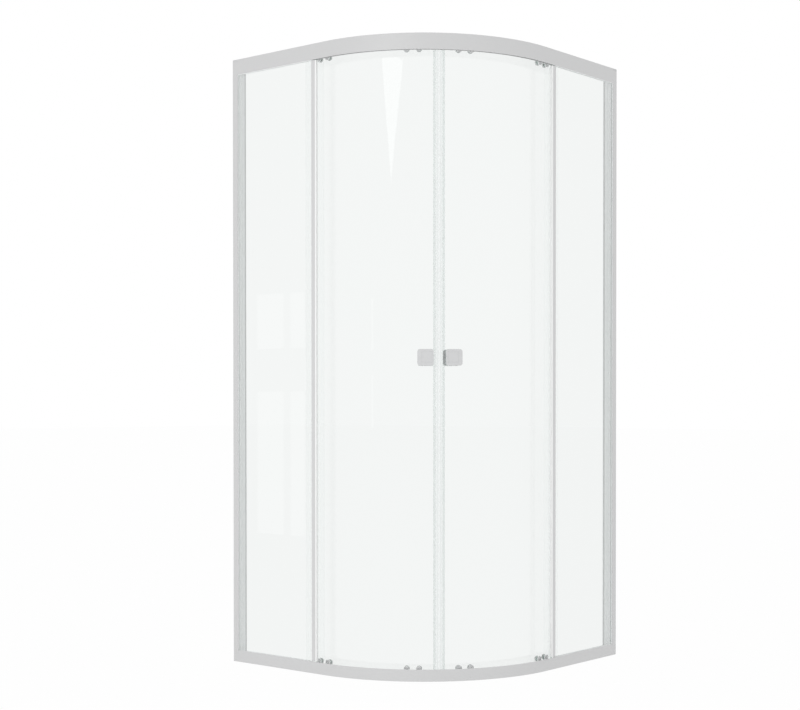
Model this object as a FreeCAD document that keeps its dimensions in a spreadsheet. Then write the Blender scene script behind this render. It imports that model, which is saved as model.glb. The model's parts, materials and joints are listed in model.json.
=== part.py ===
import FreeCAD, Part
import math
import os

import Sketcher

# A quadrant shower enclosure, in millimetres.  The two walls of the room's corner
# are the planes x = -side/2 and y = +side/2, the floor is z = 0, and the bow of the
# rails faces +X -Y.  The left half (fixed panel along X and its door) is modelled;
# the right half is its mirror image in the upright plane through the corner.
#
# Pieces are placed by two distances: "in" is how far a face lies inside the outer
# face of the rails, and "from the wall" is how far it lies along the fixed panel.

SIZES = {
    # the whole enclosure
    "height": 1950.0,
    "side": 895.0,              # from a wall to the outer face of the other panel
    "bow_radius": 487.0,        # outer face of the bow
    # extruded aluminium
    "skin": 1.45,
    "web": 2.0,
    "edge_bevel": 1.0,
    "frame_depth": 40.0,        # from the outer face of a rail to its inner edge
    "top_face": 49.0,
    "bottom_face": 36.5,
    "pocket_gap": 8.55,         # clear width of the slot that holds the fixed glass
    "top_pocket": 25.0,         # depth of that slot in the top rail
    "bottom_pocket": 24.5,
    "track_reach": 19.8,        # width of the ledge that the top wheels roll on
    "bead": 3.0,                # drop of the top rail's inner edge
    "foot_track": 7.0,          # height of the ledge that the bottom wheels follow
    "foot_reach": 24.5,
    "foot_lip": 6.0,
    "inner_step": 3.5,          # the bottom rail is so much lower inside
    "port": 4.8,                # height of the port that takes a rail screw
    "port_in": 6.7,             # middle of a rail screw
    # wall channels, posts and caps
    "channel_width": 21.5,      # how far the channel reaches out from the wall
    "channel_gap": 0.1,
    "post_start": 5.0,
    "post_pocket": 9.5,         # depth of the post's glass slot
    "bead_width": 9.0,
    "bead_rise": 0.8,
    "groove_depth": 1.5,
    "cap_height": 8.0,
    "cap_peg": 12.0,
    "wall_hole": 5.5,
    "wall_hole_count": 4.0,
    "wall_hole_end": 150.0,     # from either end of the channel to its last hole
    # fixed glass, its gasket and its edge profile
    "panel_width": 370.0,       # from the wall to the open end of the fixed panel
    "fixed_glass": 5.0,
    "fixed_in": 3.7,
    "seating": 2.0,             # gap left under the fixed glass
    "gasket_proud": 0.4,
    "edge_width": 20.0,
    "edge_skin": 1.5,
    "fin_reach": 15.0,
    "fin_spread": 14.0,
    "fin": 1.2,
    "fin_foot": 6.0,            # width of the strip by which the fin is stuck on
    # doors
    "door_in": 46.0,
    "door_glass": 5.0,
    "door_bottom": 13.0,
    "door_top_drop": 25.5,
    "door_tail": 100.0,         # flat stretch of the door beyond the end of the bow
    "meeting_gap": 1.0,         # between the two magnetic seals
    "magnet_reach": 10.5,       # from the glass edge to the face of its magnet
    "clip_grip": 7.0,
    "clip": 1.2,
    "tail_fin": 16.0,
    # rollers
    "lead_angle": 10.45,        # from the meeting line to the leading roller
    "trail_distance": 47.0,     # from the end of the bow to the trailing roller
    "bolt_pitch": 38.0,         # between the two glass bolts of a roller bracket
    "wheel_radius": 9.5,
    "wheel_width": 5.0,
    "wheel_in": 24.5,           # middle of the wheel
    "wheel_lift": 0.3,
    "axle": 5.0,
    "axle_shoulder": 8.0,
    "running": 0.05,
    "side_play": 0.3,
    "upper_bolts": 37.5,        # from the top of the enclosure down to these bolts
    "lower_bolts": 30.5,        # from the floor up to these bolts
    "bolt_cap": 18.0,           # width of the round head seen from inside
    "bolt_cap_height": 5.5,
    "plate": 5.0,
    "lug": 8.0,                 # from a bolt to the edge of its lug
    "lug_bevel": 4.0,
    "glass_hole": 12.0,
    "door_travel": 220.0,
    "stop_length": 14.0,
    "stop_height": 9.0,
    "stop_gap": 2.5,            # left between a wheel and its stop at full travel
    # handles
    "handle_height": 978.0,
    "handle_angle": 5.36,       # from the meeting line
    "handle_size": 50.0,
    "handle_corner": 8.0,
    "handle_plate": 8.0,
    "handle_reach": 29.0,       # outer face of the handle from the door glass
    "handle_inner_reach": 21.0,
    "handle_neck": 26.0,
    "handle_dish": 1.0,
    "dish_meeting": 4.5,        # rim left at the side that faces the meeting line
    "dish_far": 12.0,
    "dish_top": 6.5,
    "dish_bottom": 9.5,
    "stud": 8.0,
    # screws
    "screw": 4.2,
    "screw_head": 7.6,
    "screw_head_height": 2.0,
    "rail_screw_length": 30.0,
}


class Size:
    """A length or number together with the sheet expression that gives it."""

    def __init__(self, number, text):
        self.number = float(number)
        self.text = text

    def __add__(self, other):
        other = as_size(other)
        return Size(self.number + other.number, f"({self.text} + {other.text})")

    def __radd__(self, other):
        return as_size(other) + self

    def __sub__(self, other):
        other = as_size(other)
        return Size(self.number - other.number, f"({self.text} - {other.text})")

    def __rsub__(self, other):
        return as_size(other) - self

    def __mul__(self, other):
        other = as_size(other)
        return Size(self.number * other.number, f"({self.text} * {other.text})")

    def __rmul__(self, other):
        return as_size(other) * self

    def __truediv__(self, other):
        other = as_size(other)
        return Size(self.number / other.number, f"({self.text} / {other.text})")

    def __neg__(self):
        return Size(-self.number, f"(0 - {self.text})")


def as_size(value):
    if isinstance(value, Size):
        return value
    return Size(value, repr(value))


def size(name):
    return Size(SIZES[name], f"Sizes.{name}")


def cosine(angle):
    return Size(math.cos(math.radians(angle.number)), f"cos({angle.text} * 1 deg)")


def sine(angle):
    return Size(math.sin(math.radians(angle.number)), f"sin({angle.text} * 1 deg)")


doc = FreeCAD.newDocument("QuadrantEnclosure")
sheet = doc.addObject("Spreadsheet::Sheet", "Sizes")
for row, (name, value) in enumerate(SIZES.items(), start=1):
    sheet.set(f"A{row}", name)
    sheet.set(f"B{row}", str(value))
    sheet.setAlias(f"B{row}", name)
doc.recompute()

parts = []      # (node name, document object)

# ---------------------------------------------------------------- shared places

WALL = -size("side") / 2                        # x of the left wall
OUTER = -size("side") / 2                       # y of the left panel's outer face
BOW_X = size("side") / 2 - size("bow_radius")   # the bow's centre
BOW_Y = -BOW_X
HEIGHT = size("height")
POCKET_IN = size("skin") + size("pocket_gap")   # inner side of the glass slot
CHANNEL_IN = POCKET_IN + size("skin")           # start of the roller channel
TRACK_Z = HEIGHT - size("top_face") + size("top_pocket") + size("web")
BOLT_TOP = HEIGHT - size("upper_bolts")
BOLT_FOOT = size("lower_bolts")
WHEEL_TOP = TRACK_Z + size("wheel_lift") + size("wheel_radius")
WHEEL_FOOT = size("foot_track") + size("wheel_lift") + size("wheel_radius")
DOOR_TOP = HEIGHT - size("door_top_drop")
DOOR_BACK = size("door_in") + size("door_glass")
PLATE_IN = size("door_in") - size("plate")
MEETING = -45.0                                 # bearing of the meeting line


# ---------------------------------------------------------------- small helpers

def finish(obj, name):
    """Name a finished sub-part and keep it for export."""
    obj.Label = name
    parts.append((name, obj))
    return obj


def new_body(name):
    return doc.addObject("PartDesign::Body", name + "_body")


def origin_plane(body, role):
    for feature in body.Origin.OriginFeatures:
        if feature.Role == role:
            return feature
    raise ValueError(role)


def new_sketch(body, role, shift=None):
    """A sketch on one of the body's own planes, moved along the plane's normal."""
    sketch = body.newObject("Sketcher::SketchObject", "Sketch")
    sketch.AttachmentSupport = (origin_plane(body, role), "")
    sketch.MapMode = "FlatFace"
    if shift is not None:
        offset = FreeCAD.Vector(0, 0, shift.number)
        sketch.AttachmentOffset = FreeCAD.Placement(offset, FreeCAD.Rotation())
        sketch.setExpression("AttachmentOffset.Base.z", shift.text)
    return sketch


def hold(sketch, kind, geometry, spot, value):
    """Fix one coordinate of a sketch point from the sheet."""
    value = as_size(value)
    if value.text == "0":
        axis = -2 if kind == "DistanceX" else -1
        sketch.addConstraint(Sketcher.Constraint("PointOnObject", geometry, spot, axis))
        return
    rule = Sketcher.Constraint(kind, -1, 1, geometry, spot, value.number)
    index = sketch.addConstraint(rule)
    sketch.setExpression(f"Constraints[{index}]", value.text)


def draw_loop(sketch, corners):
    """A closed outline of straight lines through corners held by the sheet."""
    first = sketch.GeometryCount
    count = len(corners)
    spots = []
    for across, up in corners:
        spots.append(FreeCAD.Vector(as_size(across).number, as_size(up).number, 0))
    for i in range(count):
        sketch.addGeometry(Part.LineSegment(spots[i], spots[(i + 1) % count]), False)
    for i in range(count):
        after = first + (i + 1) % count
        sketch.addConstraint(Sketcher.Constraint("Coincident", first + i, 2, after, 1))
    for i, (across, up) in enumerate(corners):
        hold(sketch, "DistanceX", first + i, 1, across)
        hold(sketch, "DistanceY", first + i, 1, up)


def draw_rectangle(sketch, left, low, right, high):
    draw_loop(sketch, [(left, low), (right, low), (right, high), (left, high)])


def draw_circle(sketch, across, up, diameter):
    across = as_size(across)
    up = as_size(up)
    middle = FreeCAD.Vector(across.number, up.number, 0)
    circle = Part.Circle(middle, FreeCAD.Vector(0, 0, 1), diameter.number / 2)
    index = sketch.addGeometry(circle, False)
    hold(sketch, "DistanceX", index, 3, across)
    hold(sketch, "DistanceY", index, 3, up)
    rule = sketch.addConstraint(Sketcher.Constraint("Diameter", index, diameter.number))
    sketch.setExpression(f"Constraints[{rule}]", diameter.text)


def pad(body, sketch, length, backwards=False):
    feature = body.newObject("PartDesign::Pad", "Pad")
    feature.Profile = sketch
    feature.Length = length.number
    feature.setExpression("Length", length.text)
    feature.Reversed = backwards
    return feature


def pocket(body, sketch, length, backwards=False):
    feature = body.newObject("PartDesign::Pocket", "Pocket")
    feature.Profile = sketch
    feature.Length = length.number
    feature.setExpression("Length", length.text)
    feature.Reversed = backwards
    return feature


def revolve(body, sketch):
    feature = body.newObject("PartDesign::Revolution", "Revolution")
    feature.Profile = sketch
    feature.ReferenceAxis = (sketch, ["V_Axis"])
    feature.Angle = 360.0
    return feature


def rail_path(body, start_x, end_angle=None, end_y=None):
    """The outer face's line in plan: straight, round the bow, and straight again
    to end_y, or only as far round the bow as end_angle."""
    radius = size("bow_radius")
    path = new_sketch(body, "XY_Plane")
    corner = FreeCAD.Vector(BOW_X.number, OUTER.number, 0)
    start = FreeCAD.Vector(start_x.number, OUTER.number, 0)
    path.addGeometry(Part.LineSegment(start, corner), False)
    middle = FreeCAD.Vector(BOW_X.number, BOW_Y.number, 0)
    circle = Part.Circle(middle, FreeCAD.Vector(0, 0, 1), radius.number)
    finish_angle = 0.0 if end_angle is None else math.radians(end_angle.number)
    arc = Part.ArcOfCircle(circle, -math.pi / 2, finish_angle)
    path.addGeometry(arc, False)
    path.addConstraint(Sketcher.Constraint("Coincident", 0, 2, 1, 1))
    hold(path, "DistanceX", 0, 1, start_x)
    hold(path, "DistanceY", 0, 1, OUTER)
    hold(path, "DistanceX", 1, 3, BOW_X)
    hold(path, "DistanceY", 1, 3, BOW_Y)
    hold(path, "DistanceX", 1, 1, BOW_X)
    hold(path, "DistanceY", 1, 1, OUTER)
    if end_angle is None:
        bow_end = FreeCAD.Vector(-OUTER.number, BOW_Y.number, 0)
        finish_point = FreeCAD.Vector(-OUTER.number, end_y.number, 0)
        path.addGeometry(Part.LineSegment(bow_end, finish_point), False)
        path.addConstraint(Sketcher.Constraint("Coincident", 1, 2, 2, 1))
        hold(path, "DistanceY", 2, 1, BOW_Y)
        hold(path, "DistanceX", 2, 2, -OUTER)
        hold(path, "DistanceY", 2, 2, end_y)
    else:
        hold(path, "DistanceX", 1, 2, BOW_X + radius * cosine(end_angle))
    return path


def sweep(body, loops, start_x, end_angle=None, end_y=None):
    """Run a section, drawn as (in, height) outlines, along the rails' line."""
    section = new_sketch(body, "YZ_Plane", start_x)
    for loop in loops:
        draw_loop(section, [(OUTER + inward, up) for inward, up in loop])
    path = rail_path(body, start_x, end_angle, end_y)
    pipe = body.newObject("PartDesign::AdditivePipe", "Pipe")
    pipe.Profile = section
    pipe.Spine = path
    return pipe


def box_loop(inner, low, outer, high):
    return [(inner, low), (outer, low), (outer, high), (inner, high)]


def straight_station(distance):
    """The frame of a place on the straight panel, that far from the bow's end:
    local X runs along the panel, local Y points inwards and Z up."""
    spot = FreeCAD.Vector(BOW_X.number - distance.number, OUTER.number, 0)
    return FreeCAD.Placement(spot, FreeCAD.Rotation())


def bow_station(angle):
    """The same frame on the bow, at that many degrees from the meeting line."""
    bearing = MEETING - angle.number
    reach = SIZES["bow_radius"]
    x = BOW_X.number + reach * math.cos(math.radians(bearing))
    y = BOW_Y.number + reach * math.sin(math.radians(bearing))
    turn = FreeCAD.Rotation(FreeCAD.Vector(0, 0, 1), bearing + 90)
    return FreeCAD.Placement(FreeCAD.Vector(x, y, 0), turn)


def moved(place, along=0.0, up=0.0, inward=0.0):
    """A place shifted along, up and inwards in its own frame."""
    step = FreeCAD.Placement(FreeCAD.Vector(along, inward, up), FreeCAD.Rotation())
    return place.multiply(step)


def mirror(name, source):
    """The right-hand twin of a left-hand piece."""
    twin = doc.addObject("Part::Mirroring", name)
    twin.Source = source
    twin.Base = FreeCAD.Vector(0, 0, 0)
    twin.Normal = FreeCAD.Vector(1, 1, 0)
    return finish(twin, name)


def pair(name, source):
    """Keep a left-hand piece and its right-hand twin."""
    finish(source, "left_" + name)
    mirror("right_" + name, source)


def lathe_body(name, outline):
    """A round piece about the local Y axis, from (radius, in) corners."""
    body = new_body(name)
    section = new_sketch(body, "XY_Plane")
    draw_loop(section, outline)
    revolve(body, section)
    return body


def copies(name, master, places):
    """Identical pieces as separate solids of one sub-part."""
    doc.recompute()
    solids = []
    for place in places:
        solid = master.Shape.copy()
        solid.transformShape(place.toMatrix())
        solids.append(solid)
    group = doc.addObject("Part::Feature", name + "_group")
    group.Shape = Part.makeCompound(solids)
    return group


# ---------------------------------------------------------------- rails

def top_rail():
    """Outer face, glass slot, screw port and the ledge that carries the wheels."""
    body = new_body("top_rail")
    skin = size("skin")
    web = size("web")
    low = HEIGHT - size("top_face")
    roof = HEIGHT - web
    slot_top = low + size("top_pocket")
    depth = size("frame_depth")
    reach = CHANNEL_IN + size("track_reach")
    bevel = size("edge_bevel")
    outline = [
        (0, low), (skin, low), (skin, slot_top), (POCKET_IN, slot_top), (POCKET_IN, low),
        (CHANNEL_IN, low), (CHANNEL_IN, slot_top), (reach, slot_top), (reach, TRACK_Z),
        (CHANNEL_IN, TRACK_Z), (CHANNEL_IN, roof), (depth - skin, roof),
        (depth - skin, roof - size("bead")), (depth, roof - size("bead")),
        (depth, HEIGHT), (bevel, HEIGHT), (0, HEIGHT - bevel),
    ]
    port_high = TRACK_Z + size("port")
    chambers = [
        box_loop(skin, TRACK_Z, POCKET_IN, port_high),
        box_loop(skin, port_high + skin, POCKET_IN, roof),
    ]
    start = WALL + size("channel_width")
    sweep(body, [outline] + chambers, start, end_y=-start)
    return body


def bottom_rail():
    """Outer face, glass slot, screw port and the ledge that steers the wheels."""
    body = new_body("bottom_rail")
    skin = size("skin")
    web = size("web")
    high = size("bottom_face")
    slot_low = high - size("bottom_pocket")
    depth = size("frame_depth")
    reach = CHANNEL_IN + size("foot_reach")
    track = size("foot_track")
    bevel = size("edge_bevel")
    inner_high = high - size("inner_step")
    outline = [
        (0, 0), (0, high - bevel), (bevel / 2, high), (skin, high), (skin, slot_low),
        (POCKET_IN, slot_low), (POCKET_IN, inner_high), (CHANNEL_IN, inner_high),
        (CHANNEL_IN, track), (reach, track), (reach, web), (depth - skin, web),
        (depth - skin, size("foot_lip")), (depth, size("foot_lip")), (depth, 0),
    ]
    chambers = [
        box_loop(skin, web, POCKET_IN, web + size("port")),
        box_loop(CHANNEL_IN, web, reach - skin, track - skin),
    ]
    start = WALL + size("channel_width")
    sweep(body, [outline] + chambers, start, end_y=-start)
    return body


def rail_port_heights():
    """Heights of the screw ports' middles in the bottom and the top rail."""
    half = size("port") / 2
    return size("web") + half, TRACK_Z + half


# ---------------------------------------------------------------- wall side

def wall_channel():
    """The U-shaped extrusion that is screwed to the wall."""
    body = new_body("wall_channel")
    skin = size("skin")
    depth = size("frame_depth")
    width = size("channel_width")
    rear = width - size("groove_depth") - skin
    outline = [
        (WALL, OUTER), (WALL + width, OUTER), (WALL + width, OUTER + skin),
        (WALL + skin, OUTER + skin), (WALL + skin, OUTER + depth - skin),
        (WALL + rear, OUTER + depth - skin), (WALL + rear, OUTER + depth),
        (WALL, OUTER + depth),
    ]
    section = new_sketch(body, "XY_Plane")
    draw_loop(section, outline)
    pad(body, section, HEIGHT - size("cap_height"))
    holes = new_sketch(body, "YZ_Plane", WALL)
    count = int(SIZES["wall_hole_count"])
    pitch = (HEIGHT - size("wall_hole_end") * 2) / (count - 1)
    for i in range(count):
        up = size("wall_hole_end") + i * pitch
        draw_circle(holes, OUTER + depth / 2, up, size("wall_hole"))
    pocket(body, holes, skin + 1, backwards=True)
    return body


def post():
    """The inner extrusion: it slides in the channel and holds the glass edge."""
    body = new_body("post")
    skin = size("skin")
    gap = size("channel_gap")
    front = OUTER + skin + gap
    back = OUTER + size("frame_depth") - skin - gap
    start = WALL + size("post_start")
    face = WALL + size("channel_width")
    slot = face - size("post_pocket")
    thin = skin - gap
    slot_front = front + thin
    slot_back = OUTER + POCKET_IN
    groove = face - size("groove_depth")
    bead_back = back - skin * 2 - size("bead_width") / 2
    bead_front = bead_back - size("bead_width")
    proud = face + size("bead_rise")
    outline = [
        (start, front), (face, front), (face, slot_front), (slot, slot_front),
        (slot, slot_back), (face, slot_back), (face, bead_back), (groove, bead_back),
        (groove, back), (start, back),
        (start, back - thin), (groove - thin, back - thin),
        (groove - thin, bead_back - thin), (face - thin, bead_back - thin),
        (face - thin, slot_back + thin), (slot - thin, slot_back + thin),
        (slot - thin, slot_front), (start, slot_front),
    ]
    section = new_sketch(body, "XY_Plane")
    draw_loop(section, outline)
    pad(body, section, HEIGHT - size("cap_height"))
    bead = new_sketch(body, "XY_Plane", size("bottom_face"))
    draw_rectangle(bead, face - thin, bead_front, proud, bead_back)
    pad(body, bead, HEIGHT - size("top_face") - size("bottom_face"))
    holes = new_sketch(body, "YZ_Plane", slot - thin)
    for up in rail_port_heights():
        draw_circle(holes, OUTER + size("port_in"), up, size("screw") + size("running") * 2)
    pocket(body, holes, thin + 1, backwards=True)
    return body


def corner_cap():
    """The moulded cap that closes the channel and the post at the top."""
    body = new_body("corner_cap")
    skin = size("skin")
    bevel = size("edge_bevel")
    width = size("channel_width")
    depth = size("frame_depth")
    low = HEIGHT - size("cap_height")
    section = new_sketch(body, "YZ_Plane", WALL)
    draw_loop(section, [
        (OUTER, low), (OUTER + depth, low), (OUTER + depth, HEIGHT),
        (OUTER + bevel, HEIGHT), (OUTER, HEIGHT - bevel),
    ])
    pad(body, section, width)
    peg = new_sketch(body, "XY_Plane", low)
    inset = skin + size("channel_gap")
    edge = size("post_start") - size("channel_gap")
    draw_rectangle(peg, WALL + inset, OUTER + depth * 0.3, WALL + edge, OUTER + depth * 0.7)
    pad(body, peg, size("cap_peg"), backwards=True)
    return body


# ---------------------------------------------------------------- fixed panel

GLASS_LOW = size("bottom_face") - size("bottom_pocket") + size("seating")
GLASS_HIGH = HEIGHT - size("top_face") + size("top_pocket") - size("seating") * 2
GLASS_START = WALL + size("channel_width") - size("post_pocket") + size("seating") / 2
GLASS_END = WALL + size("panel_width") - size("edge_skin") - size("seating")
GLASS_FRONT = OUTER + size("fixed_in")
GLASS_BACK = GLASS_FRONT + size("fixed_glass")


def bound_box(name, start, length):
    """A box whose corner and sides come from the sheet."""
    solid = doc.addObject("Part::Box", name)
    for prop, value in zip(("Length", "Width", "Height"), length):
        setattr(solid, prop, value.number)
        solid.setExpression(prop, value.text)
    solid.Placement.Base = FreeCAD.Vector(*[value.number for value in start])
    for axis, value in zip("xyz", start):
        solid.setExpression(f"Placement.Base.{axis}", value.text)
    return solid


def fixed_glass():
    start = (GLASS_START, GLASS_FRONT, GLASS_LOW)
    length = (GLASS_END - GLASS_START, size("fixed_glass"), GLASS_HIGH - GLASS_LOW)
    return bound_box("fixed_glass_pane", start, length)


def glazing_gasket():
    """The rubber that grips the pane on its wall side, top and bottom."""
    face = WALL + size("channel_width")
    slot = face - size("post_pocket")
    end = WALL + size("panel_width") - size("edge_width")
    proud = size("gasket_proud")
    seat = size("seating")
    back = OUTER + POCKET_IN
    post_front = OUTER + size("skin") * 2
    rail_front = OUTER + size("skin")
    low = GLASS_LOW - seat
    high = GLASS_HIGH + seat
    lower = size("bottom_face") + proud
    upper = HEIGHT - size("top_face") - proud
    strips = [
        bound_box(
            "gasket_side", (slot, post_front, low),
            (face + proud - slot, back - post_front, high - low)),
        bound_box(
            "gasket_foot", (face, rail_front, low),
            (end - face, back - rail_front, lower - low)),
        bound_box(
            "gasket_head", (face, rail_front, upper),
            (end - face, back - rail_front, high - upper)),
    ]
    frame = doc.addObject("Part::MultiFuse", "gasket_frame")
    frame.Shapes = strips
    pane = bound_box(
        "gasket_slot", (GLASS_START, GLASS_FRONT, GLASS_LOW),
        (GLASS_END - GLASS_START, size("fixed_glass"), GLASS_HIGH - GLASS_LOW))
    gasket = doc.addObject("Part::Cut", "gasket_cut")
    gasket.Base = frame
    gasket.Tool = pane
    return gasket


def edge_strip(name, outline):
    """An upright strip between the two rails."""
    body = new_body(name)
    low = size("bottom_face") + size("edge_skin")
    high = HEIGHT - size("top_face") - size("edge_skin")
    section = new_sketch(body, "XY_Plane", low)
    draw_loop(section, outline)
    pad(body, section, high - low)
    return body


def edge_profile():
    """The aluminium strip that wraps the pane's free edge."""
    skin = size("edge_skin")
    end = WALL + size("panel_width")
    near = end - size("edge_width")
    front = GLASS_FRONT - skin
    back = GLASS_BACK + skin
    return edge_strip("edge_profile", [
        (near, front), (end, front), (end, back), (near, back), (near, GLASS_BACK),
        (GLASS_END, GLASS_BACK), (GLASS_END, GLASS_FRONT), (near, GLASS_FRONT),
    ])


def edge_seal():
    """The clear fin on the back of that strip, which leans towards the door."""
    end = WALL + size("panel_width")
    back = GLASS_BACK + size("edge_skin")
    reach = size("fin_reach")
    spread = size("fin_spread")
    fin = size("fin")
    return edge_strip("edge_seal", [
        (end - size("fin_foot"), back), (end, back),
        (end + spread * 0.3, back + reach * 0.2), (end + spread * 0.75, back + reach * 0.6),
        (end + spread, back + reach), (end + spread - fin, back + reach),
        (end + spread * 0.75 - fin * 1.3, back + reach * 0.62),
        (end + spread * 0.3 - fin, back + reach * 0.27),
        (end - size("edge_skin"), back + fin), (end - size("fin_foot"), back + fin),
    ])


# ---------------------------------------------------------------- frame fasteners

def rail_screws():
    """Self-tapping screws through the posts into the rails' ports."""
    radius = size("screw") / 2
    head = size("screw_head") / 2
    tall = size("screw_head_height")
    long = size("rail_screw_length")
    master = lathe_body("rail_screw", [
        (0, -tall), (head, -tall), (head, 0), (radius, 0), (radius, long), (0, long),
    ])
    thin = size("skin") - size("channel_gap")
    seat = WALL + size("channel_width") - size("post_pocket") - thin
    middle = OUTER + size("port_in")
    lay = FreeCAD.Rotation(FreeCAD.Vector(0, 0, 1), -90)
    places = []
    for up in rail_port_heights():
        spot = FreeCAD.Vector(seat.number, middle.number, up.number)
        places.append(FreeCAD.Placement(spot, lay))
    return mirrored_group("rail_screws", master, places)


def mirrored_group(name, master, places):
    """Fasteners of both halves as separate solids of one sub-part."""
    left = copies(name, master, places)
    right = left.Shape.mirror(FreeCAD.Vector(0, 0, 0), FreeCAD.Vector(1, 1, 0))
    left.Shape = Part.makeCompound(left.Shape.Solids + right.Solids)
    return finish(left, name)


def door_stops():
    """Rubber blocks on the track that end the doors' travel."""
    reach = size("trail_distance") + size("door_travel") + size("wheel_radius")
    end = BOW_X - reach - size("stop_gap")
    start = (end - size("stop_length"), OUTER + CHANNEL_IN + 0.5, TRACK_Z)
    length = (size("stop_length"), size("track_reach") - 1, size("stop_height"))
    block = bound_box("door_stop", start, length)
    doc.recompute()
    right = block.Shape.mirror(FreeCAD.Vector(0, 0, 0), FreeCAD.Vector(1, 1, 0))
    group = doc.addObject("Part::Feature", "door_stops_group")
    group.Shape = Part.makeCompound([block.Shape.copy(), right])
    return finish(group, "door_stops")


# ---------------------------------------------------------------- doors

LEAD = bow_station(size("lead_angle"))
TAIL = straight_station(size("trail_distance"))
HALF_PITCH = size("bolt_pitch") / 2
DOOR_RADIUS = size("bow_radius") - DOOR_BACK    # hollow side of the bent pane
GLASS_LEAD = (size("meeting_gap") / 2 + size("magnet_reach")) / (
    size("bow_radius") - size("door_in")) * (180 / math.pi)


def bed(reach):
    """How far a flat face that reaches so far from its middle stands off the hollow
    side of the bent pane."""
    return reach * reach / (DOOR_RADIUS * 2)


def bolt_places():
    places = []
    for up in (BOLT_TOP, BOLT_FOOT):
        for place in (LEAD, TAIL):
            for along in (HALF_PITCH.number, -HALF_PITCH.number):
                places.append(moved(place, along, up.number))
    return places


def door_glass():
    """The bent pane with its drilled holes."""
    body = new_body("door_pane")
    low = size("door_bottom")
    loop = box_loop(size("door_in"), low, DOOR_BACK, DOOR_TOP)
    tail = BOW_X - size("door_tail")
    sweep(body, [loop], tail, end_angle=MEETING - GLASS_LEAD)
    doc.recompute()
    drills = []
    handle = moved(bow_station(size("handle_angle")), 0, SIZES["handle_height"])
    for place in bolt_places() + [handle]:
        drill = doc.addObject("Part::Cylinder", "drill")
        drill.setExpression("Radius", (size("glass_hole") / 2).text)
        drill.setExpression("Height", (size("door_glass") * 3).text)
        start = FreeCAD.Placement(
            FreeCAD.Vector(0, SIZES["door_in"] - SIZES["door_glass"], 0),
            FreeCAD.Rotation(FreeCAD.Vector(1, 0, 0), -90))
        drill.Placement = place.multiply(start)
        drills.append(drill)
    tools = doc.addObject("Part::MultiFuse", "drills")
    tools.Shapes = drills
    pane = doc.addObject("Part::Cut", "door_pane_drilled")
    pane.Base = body
    pane.Tool = tools
    return pane


def magnet_seal():
    """A clip on the leading edge that carries the magnet strip."""
    body = new_body("magnet_seal")
    clip = size("clip")
    grip = size("clip_grip")
    reach = size("magnet_reach")
    front = size("door_in")
    back = DOOR_BACK + bed(grip)
    section = new_sketch(body, "XY_Plane", size("door_bottom"))
    draw_loop(section, [
        (-grip, front - clip), (reach - clip, front - clip), (reach, front),
        (reach, back), (reach - clip, back + clip), (-grip, back + clip),
        (-grip, back), (0, back), (0, front), (-grip, front),
    ])
    magnet = clip * 2
    draw_rectangle(section, magnet, front + clip / 2, reach - clip, back - clip / 2)
    pad(body, section, DOOR_TOP - size("door_bottom"))
    body.Placement = bow_station(GLASS_LEAD)
    return body


def tail_seal():
    """A clip on the trailing edge with a soft fin towards the fixed pane."""
    body = new_body("tail_seal")
    clip = size("clip")
    grip = size("clip_grip")
    fin = size("tail_fin")
    front = size("door_in")
    section = new_sketch(body, "XY_Plane", size("door_bottom"))
    draw_loop(section, [
        (grip, front - clip), (grip, front), (0, front), (0, DOOR_BACK),
        (grip, DOOR_BACK), (grip, DOOR_BACK + clip), (-clip, DOOR_BACK + clip),
        (-clip, front - clip * 0.6), (-clip - fin * 0.35, front - fin * 0.55),
        (-clip - fin * 0.6, front - fin), (-fin * 0.6, front - fin),
        (-fin * 0.32, front - fin * 0.55), (0, front - clip),
    ])
    pad(body, section, DOOR_TOP - size("door_bottom"))
    body.Placement = straight_station(size("door_tail"))
    return body


def bracket(name, bolt_up, wheel_up):
    """A roller bracket: a plate with two lugs for the glass bolts, and a headed pin
    for the wheel on its outer side.

    The wheel sits above the bolts at the top rail and below them at the bottom."""
    body = new_body(name)
    side = 1 if wheel_up.number > bolt_up.number else -1
    lug = size("lug")
    bevel = size("lug_bevel")
    outer = HALF_PITCH + lug
    inner = HALF_PITCH - lug
    tip = bolt_up - side * lug
    web = bolt_up + side * lug
    far = wheel_up + side * (lug - 2)
    half_outline = [
        (inner, web), (inner, tip + side * bevel), (inner + bevel, tip),
        (outer - bevel, tip), (outer, tip + side * bevel), (outer, far - side * bevel),
        (outer - bevel, far),
    ]
    mirrored = [(-across, up) for across, up in reversed(half_outline)]
    plate = new_sketch(body, "XZ_Plane", -PLATE_IN)
    draw_loop(plate, half_outline + mirrored)
    pad(body, plate, size("plate"), backwards=True)

    pin = new_sketch(body, "XY_Plane", wheel_up)
    shank = size("axle") / 2
    shoulder = size("axle_shoulder") / 2
    wheel_out = size("wheel_in") - size("wheel_width") / 2 - size("side_play")
    wheel_back = size("wheel_in") + size("wheel_width") / 2 + size("side_play")
    draw_loop(pin, [
        (0, wheel_out - 1), (shoulder, wheel_out - 1), (shoulder, wheel_out),
        (shank, wheel_out), (shank, wheel_back), (shoulder, wheel_back),
        (shoulder, PLATE_IN + 1), (0, PLATE_IN + 1),
    ])
    revolve(body, pin)
    return body


def wheel(name, place):
    """A nylon wheel that turns on its bracket's pin."""
    bore = size("axle") / 2 + size("running")
    outside = size("wheel_in") - size("wheel_width") / 2
    inside = size("wheel_in") + size("wheel_width") / 2
    body = lathe_body(name, [
        (bore, outside), (size("wheel_radius"), outside), (size("wheel_radius"), inside),
        (bore, inside),
    ])
    body.Placement = place
    return body


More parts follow.
